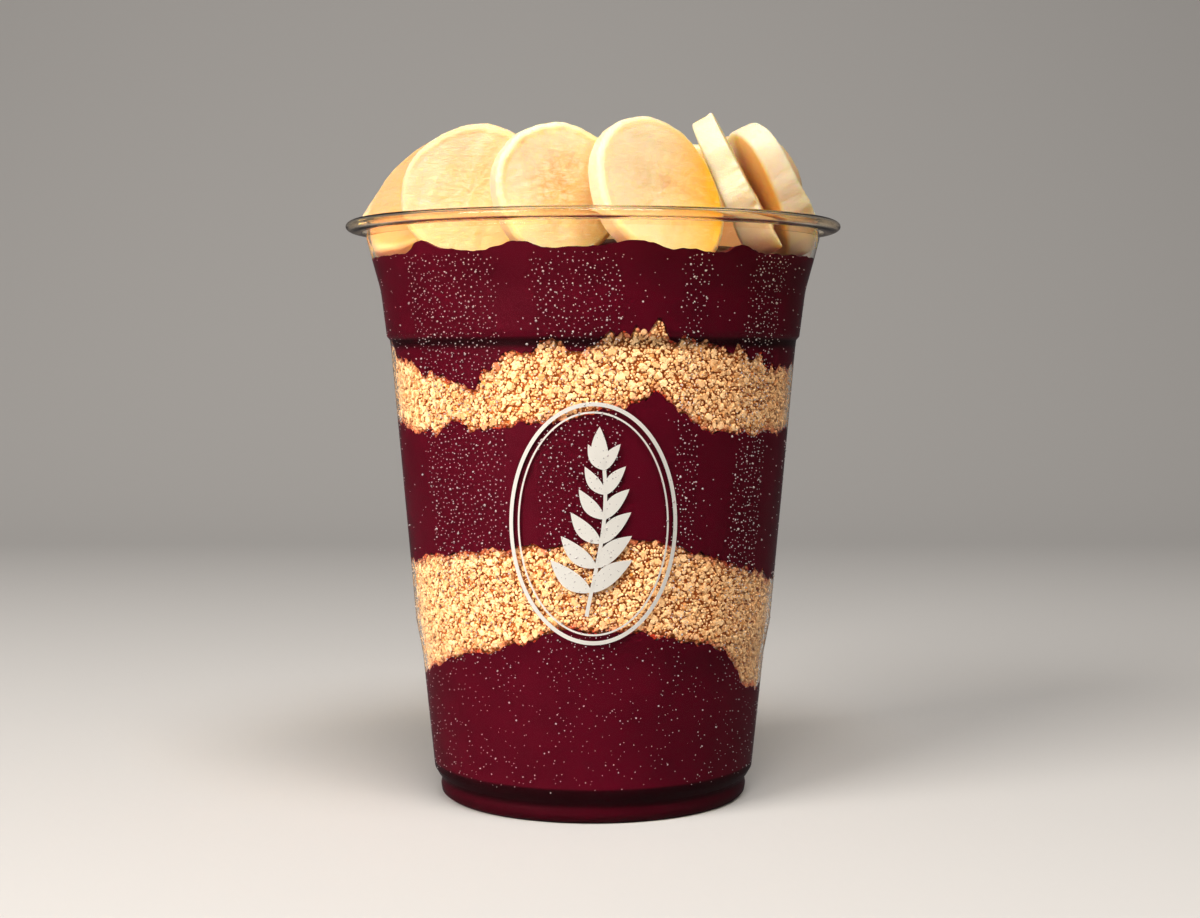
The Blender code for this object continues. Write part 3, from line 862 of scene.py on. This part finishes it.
def make_beads(look):
    """Fine mist and larger beads of condensation on the outside of the wall."""
    outer, _ = sheet_sides(look.wall / MM)
    material = still_water(look)
    shape = grain_shape(1)
    draw = np.random.default_rng(31)
    kinds = (("condensation_mist", look.mist_pitch / MM, (0.09, 0.17)),
             ("condensation_beads", look.bead_pitch / MM, (0.14, 0.26)))
    for name, pitch, sizes in kinds:
        angles, heights = even_spots(6.8, 106.0, pitch, draw, outer).T
        kept = draw.uniform(0, 1, len(angles)) < wet_share(angles, heights)
        angles, heights = angles[kept], heights[kept]
        radii = sizes[0] + (sizes[1] - sizes[0]) * draw.uniform(0, 1, len(angles)) ** 2
        radii *= np.interp(heights, [25.0, 45.0], [0.72, 1.0])
        centres = around(wall_radius(heights, outer) + 0.1 * radii, angles, heights)
        for side, chosen in (("front", np.cos(angles) > 0), ("back", np.cos(angles) <= 0)):
            beads = joined_copies(name + "_" + side, shape, centres[chosen], radii[chosen], draw, 0.03)
            beads.data.shade_smooth()
            finish_piece(beads, material)


# Print

def printed_ink(look):
    """Screen-printed ink: thin, opaque and matte."""
    material = new_material("screen_printed_ink")
    spot = add(material, "ShaderNodeTexCoord")
    cover = add(material, "ShaderNodeTexNoise", {
        "Vector": spot.outputs["Object"], "Scale": 1.0 / (0.6 * MM), "Detail": 2.0})
    rough = add(material, "ShaderNodeMapRange", {
        "Value": cover.outputs["Fac"], "To Min": 0.4, "To Max": 0.6})
    ink = add(material, "ShaderNodeBsdfPrincipled", {
        "Base Color": rgba(look.ink), "Roughness": rough.outputs[0]})
    add(material, "ShaderNodeOutputMaterial", {"Surface": ink.outputs[0]})
    return material


def leaf_grid(long_steps, wide_steps):
    """Flat unit strip, from 0 to 1 along and -1 to 1 across, read from a grid primitive."""
    deselect_all()
    bpy.ops.mesh.primitive_grid_add(x_subdivisions=long_steps, y_subdivisions=wide_steps, size=1.0)
    strip = bpy.context.object
    points = read_points(strip.data) * MM
    faces = np.array([tuple(face.vertices) for face in strip.data.polygons])
    bpy.data.objects.remove(strip, do_unlink=True)
    return np.stack([points[:, 0] + 0.5, points[:, 1] * 2.0], axis=1), faces


def leaf(strip, root, degrees, length, width):
    """A leaf from its root, in the print's flat plan."""
    along, across = strip[:, 0], strip[:, 1]
    half = 0.5 * width * np.sin(math.pi * along ** 0.85) ** 0.9
    lean = math.radians(degrees)
    forward = np.array([math.cos(lean), math.sin(lean)])
    left = np.array([-math.sin(lean), math.cos(lean)])
    bend = 0.06 * length * np.sin(math.pi * along)
    return root + along[:, None] * length * forward + (across * half + bend)[:, None] * left


def band(strip, route, width):
    """A line of ink along a route of points."""
    place = np.interp(strip[:, 0], np.linspace(0, 1, len(route)), np.arange(len(route)))
    steps = np.arange(len(route))
    x, y = np.interp(place, steps, route[:, 0]), np.interp(place, steps, route[:, 1])
    run = np.gradient(route, axis=0)
    run /= np.linalg.norm(run, axis=1)[:, None]
    dx, dy = np.interp(place, steps, run[:, 0]), np.interp(place, steps, run[:, 1])
    side = strip[:, 1] * width / 2
    return np.stack([x - dy * side, y + dx * side], axis=1)


def make_print(look):
    """A plain printed sprig in an oval, wrapped on the front of the cup."""
    outer, _ = sheet_sides(look.wall / MM)
    middle = np.array([0.0, 57.0])
    half = np.array([15.5, 22.0])
    turn = np.linspace(0, FULL_TURN, 121)
    oval = np.stack([np.cos(turn), np.sin(turn)], axis=1)
    stem_share = np.linspace(0, 1, 25)
    stem = np.stack([2.2 * np.sin(2.6 * stem_share - 0.6), -17.0 + 27.0 * stem_share], axis=1) + middle
    shapes = []
    ring_strip = leaf_grid(120, 1)
    stem_strip = leaf_grid(24, 2)
    leaf_strip = leaf_grid(14, 6)
    shapes.append((band(ring_strip[0], middle + oval * half, 0.75), ring_strip[1]))
    shapes.append((band(ring_strip[0], middle + oval * (half - 1.5), 0.35), ring_strip[1]))
    shapes.append((band(stem_strip[0], stem, 0.7), stem_strip[1]))
    for index in range(6):
        root = stem[4 + index * 4]
        size = 9.6 - 0.8 * index
        for side in (-1, 1):
            lean = 90 - side * (52 - 4 * index)
            shapes.append((leaf(leaf_strip[0], root, lean, size, size * 0.36), leaf_strip[1]))
    shapes.append((leaf(leaf_strip[0], stem[-1], 96, 8.0, 3.0), leaf_strip[1]))
    points, faces, count = [], [], 0
    for flat, quads in shapes:
        points.append(flat)
        faces += (quads + count).tolist()
        count += len(flat)
    flat = np.vstack(points)
    radius = wall_radius(flat[:, 1], outer) + 0.06
    mesh = bpy.data.meshes.new("printed_sprig")
    mesh.from_pydata((around(radius, flat[:, 0] / radius, flat[:, 1]) * MM).tolist(), [], faces)
    mesh.update()
    sprig = bpy.data.objects.new("printed_sprig", mesh)
    bpy.context.scene.collection.objects.link(sprig)
    activate(sprig)
    film = sprig.modifiers.new("Film", "SOLIDIFY")
    film.thickness = 0.05 * MM
    film.offset = 0.0
    bpy.ops.object.modifier_apply(modifier=film.name)
    finish_piece(sprig, printed_ink(look))


# Stage

def plain_floor(look):
    """Matte painted board, plain and pale; the light that it throws back is held down."""
    material = new_material("matte_painted_board")
    spot = add(material, "ShaderNodeTexCoord")
    fine = add(material, "ShaderNodeTexNoise", {
        "Vector": spot.outputs["Object"], "Scale": 400.0, "Detail": 2.0})
    bump = add(material, "ShaderNodeBump", {
        "Height": fine.outputs["Fac"], "Strength": 0.05, "Distance": 0.2 * MM})
    path = add(material, "ShaderNodeLightPath")
    mirrored = add(material, "ShaderNodeMath", {
        0: path.outputs["Is Glossy Ray"], 1: path.outputs["Is Transmission Ray"]}, operation="SUBTRACT")
    bounced = add(material, "ShaderNodeMath", {
        0: path.outputs["Is Diffuse Ray"], 1: mirrored.outputs[0]}, operation="MAXIMUM")
    shown = add(material, "ShaderNodeMix", {
        0: bounced.outputs[0], 6: rgba(look.floor), 7: rgba(look.floor_bounce)}, data_type="RGBA")
    board = add(material, "ShaderNodeBsdfPrincipled", {
        "Base Color": shown.outputs[2], "Roughness": 0.9, "Normal": bump.outputs["Normal"]})
    add(material, "ShaderNodeOutputMaterial", {"Surface": board.outputs[0]})
    return material


def make_sweep(look):
    """The floor, which curves up behind the cup into a backdrop."""
    deselect_all()
    bpy.ops.mesh.primitive_plane_add(size=6.0, location=(0.0, BACKDROP - 3.0, 0.0))
    sweep = bpy.context.object
    sweep.name = "floor_sweep"
    bpy.ops.object.transform_apply(location=True, rotation=True, scale=True)
    bpy.ops.object.mode_set(mode="EDIT")
    pick(sweep, lambda co: co.y > BACKDROP - 0.1)
    bpy.ops.mesh.extrude_region_move(TRANSFORM_OT_translate={"value": (0.0, 0.0, 2.5)})
    pick(sweep, lambda co: co.y > BACKDROP - 0.1 and co.z < 0.1)
    bpy.ops.mesh.bevel(offset=0.6, segments=24)
    bpy.ops.mesh.select_all(action="SELECT")
    bpy.ops.mesh.normals_make_consistent(inside=False)
    bpy.ops.object.mode_set(mode="OBJECT")
    bpy.ops.object.shade_smooth()
    sweep.data.materials.append(plain_floor(look))


def add_light(name, place, target, size, power, colour):
    """A soft area light that points at a target."""
    light = bpy.data.lights.new(name, "AREA")
    light.shape = "RECTANGLE"
    light.size, light.size_y = size
    light.energy = power
    light.color = colour
    obj = bpy.data.objects.new(name, light)
    obj.location = place
    obj.rotation_euler = (Vector(target) - Vector(place)).to_track_quat("-Z", "Y").to_euler()
    bpy.context.scene.collection.objects.link(obj)


def make_camera(look):
    """The camera at the photo's place, with its own lens."""
    data = bpy.data.cameras.new("camera")
    data.lens = look.lens
    data.sensor_width = 36.0
    data.clip_start = 0.01
    data.clip_end = 20.0
    camera = bpy.data.objects.new("camera", data)
    camera.location = (0.0, -look.camera_distance, look.camera_height)
    target = Vector((look.aim_side, 0.0, look.aim_height))
    camera.rotation_euler = (target - camera.location).to_track_quat("-Z", "Y").to_euler()
    bpy.context.scene.collection.objects.link(camera)
    bpy.context.scene.camera = camera


def make_lights(look):
    """Key from the front left, a soft top light, a weak fill and a dim room.

    The picture is a little more contrasty than the light, as the photo is.
    """
    middle = (0.0, 0.0, 0.07)
    add_light("key_light", (-0.62, -0.57, 0.5), middle, (0.5, 0.6), look.key_power, (1.0, 0.98, 0.95))
    add_light("top_light", (0.12, -0.42, 0.9), middle, (0.5, 0.4), look.top_power, (1.0, 0.99, 0.97))
    add_light("fill_light", (0.8, -0.5, 0.35), middle, (0.5, 0.7), look.fill_power, (1.0, 0.99, 0.98))
    world = bpy.data.worlds.new("studio_room")
    world.use_nodes = True
    background = world.node_tree.nodes["Background"]
    background.inputs["Color"].default_value = (1.0, 1.0, 1.0, 1.0)
    background.inputs["Strength"].default_value = look.room_light
    bpy.context.scene.world = world
    view = bpy.context.scene.view_settings
    view.view_transform = "Standard"
    view.exposure = look.exposure
    view.gamma = look.gamma


# Settings

def colour_property(name, description, code):
    """A colour that a user can change, with its default from an sRGB hex value."""
    return FloatVectorProperty(name=name, description=description, default=linear(code),
                               subtype="COLOR", size=3, min=0.0, max=1.0)


def length_property(name, description, millimetres):
    """A length that a user can change."""
    return FloatProperty(name=name, description=description, default=millimetres * MM,
                         unit="LENGTH", subtype="DISTANCE", min=0.0, precision=5)


class CupLook(bpy.types.PropertyGroup):
    """Sizes and colours of the cup, its print and the wet on it."""
    wall: length_property("Wall", "Thickness of the cup's sheet", 0.65)
    round_steps: IntProperty(name="Round steps", description="Faces round the cup", default=224)
    pet: colour_property("Sheet", "Tint of the clear sheet", "#fbf8f2")
    rim: colour_property("Rim", "Tint of the rolled rim, where the sheet is thickest", "#fbf1e0")
    pet_ior: FloatProperty(name="Wall IOR", description="Refraction of the wetted wall", default=1.15)
    rim_ior: FloatProperty(name="Rim IOR", description="Refraction of the rolled rim", default=1.35)
    ink: colour_property("Ink", "Colour of the printed sprig", "#ebe6dc")
    # Whitish colour of the beads, which is also their painted glint
    bead: colour_property("Water", "Tint of the condensation", "#ece4e2")
    mist_pitch: length_property("Mist pitch", "Distance between fine drops", 1.08)
    bead_pitch: length_property("Bead pitch", "Distance between larger drops", 2.4)


class FoodLook(bpy.types.PropertyGroup):
    """Sizes and colours of the layers and the slices."""
    wall: length_property("Wall", "Thickness of the cup's sheet", 0.65)
    round_steps: IntProperty(name="Round steps", description="Faces round a layer", default=560)
    puree: colour_property("Puree", "Colour of the acai", "#54051c")
    puree_deep: colour_property("Deep puree", "Darker clouds in the acai", "#420213")
    crumb: colour_property("Crumb", "Palest crumb", "#f0cca0")
    # Browner crumb for baked grains and flecks, and painted shade in the pits of the core
    crumb_baked_and_pit_shade: colour_property("Baked crumb", "Browner crumb and pits", "#c5833f")
    crumb_soaked: colour_property("Soaked crumb", "Crumb that has taken up puree", "#a83a22")
    grain: length_property("Grain", "Usual size of a crumb", 0.62)
    grain_pitch: length_property("Grain pitch", "Distance between crumbs", 0.64)
    recess: length_property("Recess", "How far the core lies behind the wall", 0.75)
    flesh: colour_property("Flesh", "Palest banana flesh", "#fdecc2")
    flesh_warm: colour_property("Warm flesh", "Warmer banana flesh", "#dcaa79")
    heart: colour_property("Heart", "Middle of a slice", "#e6b055")
    # Painted shade: the golden colour laid where one slice lies on the next
    painted_contact_shade: colour_property("Painted contact shade", "Flesh where slices touch", "#fcb62c")
    skin: colour_property("Peeled side", "Outside of a slice, under its peel", "#efd8b6")
    glow: FloatProperty(name="Glow", description="How much light sinks into the flesh", default=0.8)
    glow_depth: length_property("Glow depth", "How far light travels in the flesh", 5.0)
    edge: length_property("Edge", "Rounding of a slice's cut edge", 1.0)
    slice_steps: IntProperty(name="Slice steps", description="Faces round a slice", default=120)


class StageLook(bpy.types.PropertyGroup):
    """Floor, lights and camera."""
    floor: colour_property("Floor", "Colour of the floor and backdrop", "#cac6c2")
    floor_bounce: colour_property("Bounce", "Colour of the light that the floor throws back", "#5b5658")
    key_power: FloatProperty(name="Key", description="Power of the key light", default=8.6, unit="POWER")
    top_power: FloatProperty(name="Top", description="Power of the top light", default=7.0, unit="POWER")
    fill_power: FloatProperty(name="Fill", description="Power of the fill light", default=0.2, unit="POWER")
    exposure: FloatProperty(name="Exposure", description="Exposure in stops", default=0.26)
    gamma: FloatProperty(name="Gamma", description="Below 1 deepens the dark parts", default=0.88)
    room_light: FloatProperty(name="Room", description="Strength of the room's light", default=0.11)
    lens: FloatProperty(name="Lens", description="Focal length in mm", default=58.33)
    camera_distance: length_property("Distance", "Camera in front of the cup's axis", 390.0)
    camera_height: length_property("Height", "Camera above the floor", 88.66)
    aim_side: length_property("Aim side", "Where the camera aims, to the right of the axis", 1.36)
    aim_height: length_property("Aim height", "Where the camera aims, above the floor", 66.9)


class MakeShell(bpy.types.Operator):
    """Build the clear cup."""
    bl_idname = "acai_cup.make_shell"
    bl_label = "Clear Cup"

    def execute(self, context):
        make_shell(context.scene.acai_cup)
        return {"FINISHED"}


class MakePuree(bpy.types.Operator):
    """Build the three acai layers."""
    bl_idname = "acai_cup.make_puree"
    bl_label = "Acai Layers"

    def execute(self, context):
        make_puree(context.scene.acai_food)
        return {"FINISHED"}


class MakeCrumb(bpy.types.Operator):
    """Build the two crumb layers from their cores and grains."""
    bl_idname = "acai_cup.make_crumb"
    bl_label = "Crumb Layers"

    def execute(self, context):
        make_crumb(context.scene.acai_food)
        return {"FINISHED"}


class MakeSlices(bpy.types.Operator):
    """Build the ring of banana slices."""
    bl_idname = "acai_cup.make_slices"
    bl_label = "Banana Slices"

    def execute(self, context):
        make_slices(context.scene.acai_food)
        return {"FINISHED"}


class MakePrint(bpy.types.Operator):
    """Build the printed sprig."""
    bl_idname = "acai_cup.make_print"
    bl_label = "Printed Sprig"

    def execute(self, context):
        make_print(context.scene.acai_cup)
        return {"FINISHED"}


class MakeBeads(bpy.types.Operator):
    """Build the condensation on the cup."""
    bl_idname = "acai_cup.make_beads"
    bl_label = "Condensation"

    def execute(self, context):
        make_beads(context.scene.acai_cup)
        return {"FINISHED"}


class MakeStage(bpy.types.Operator):
    """Build the floor, the lights and the camera."""
    bl_idname = "acai_cup.make_stage"
    bl_label = "Stage"

    def execute(self, context):
        look = context.scene.acai_stage
        make_sweep(look)
        make_lights(look)
        make_camera(look)
        return {"FINISHED"}


OPERATORS = (MakeShell, MakePuree, MakeCrumb, MakeSlices, MakePrint, MakeBeads, MakeStage)


class CupPanel(bpy.types.Panel):
    """Lists the steps that build the cup."""
    bl_idname = "VIEW3D_PT_acai_cup"
    bl_label = "Layered Acai Cup"
    bl_space_type = "VIEW_3D"
    bl_region_type = "UI"
    bl_category = "Acai Cup"

    def draw(self, context):
        for operator in OPERATORS:
            self.layout.operator(operator.bl_idname)
        for group in (context.scene.acai_cup, context.scene.acai_food, context.scene.acai_stage):
            box = self.layout.box()
            for name in group.__annotations__:
                box.prop(group, name)


CLASSES = (CupLook, FoodLook, StageLook) + OPERATORS + (CupPanel,)


def register():
    for item in CLASSES:
        bpy.utils.register_class(item)
    bpy.types.Scene.acai_cup = PointerProperty(type=CupLook)
    bpy.types.Scene.acai_food = PointerProperty(type=FoodLook)
    bpy.types.Scene.acai_stage = PointerProperty(type=StageLook)


def unregister():
    del bpy.types.Scene.acai_stage
    del bpy.types.Scene.acai_food
    del bpy.types.Scene.acai_cup
    for item in reversed(CLASSES):
        bpy.utils.unregister_class(item)


def main():
    register()
    bpy.ops.acai_cup.make_shell()
    bpy.ops.acai_cup.make_puree()
    bpy.ops.acai_cup.make_crumb()
    bpy.ops.acai_cup.make_slices()
    bpy.ops.acai_cup.make_print()
    bpy.ops.acai_cup.make_beads()
    bpy.ops.acai_cup.make_stage()


if __name__ == "__main__":
    main()
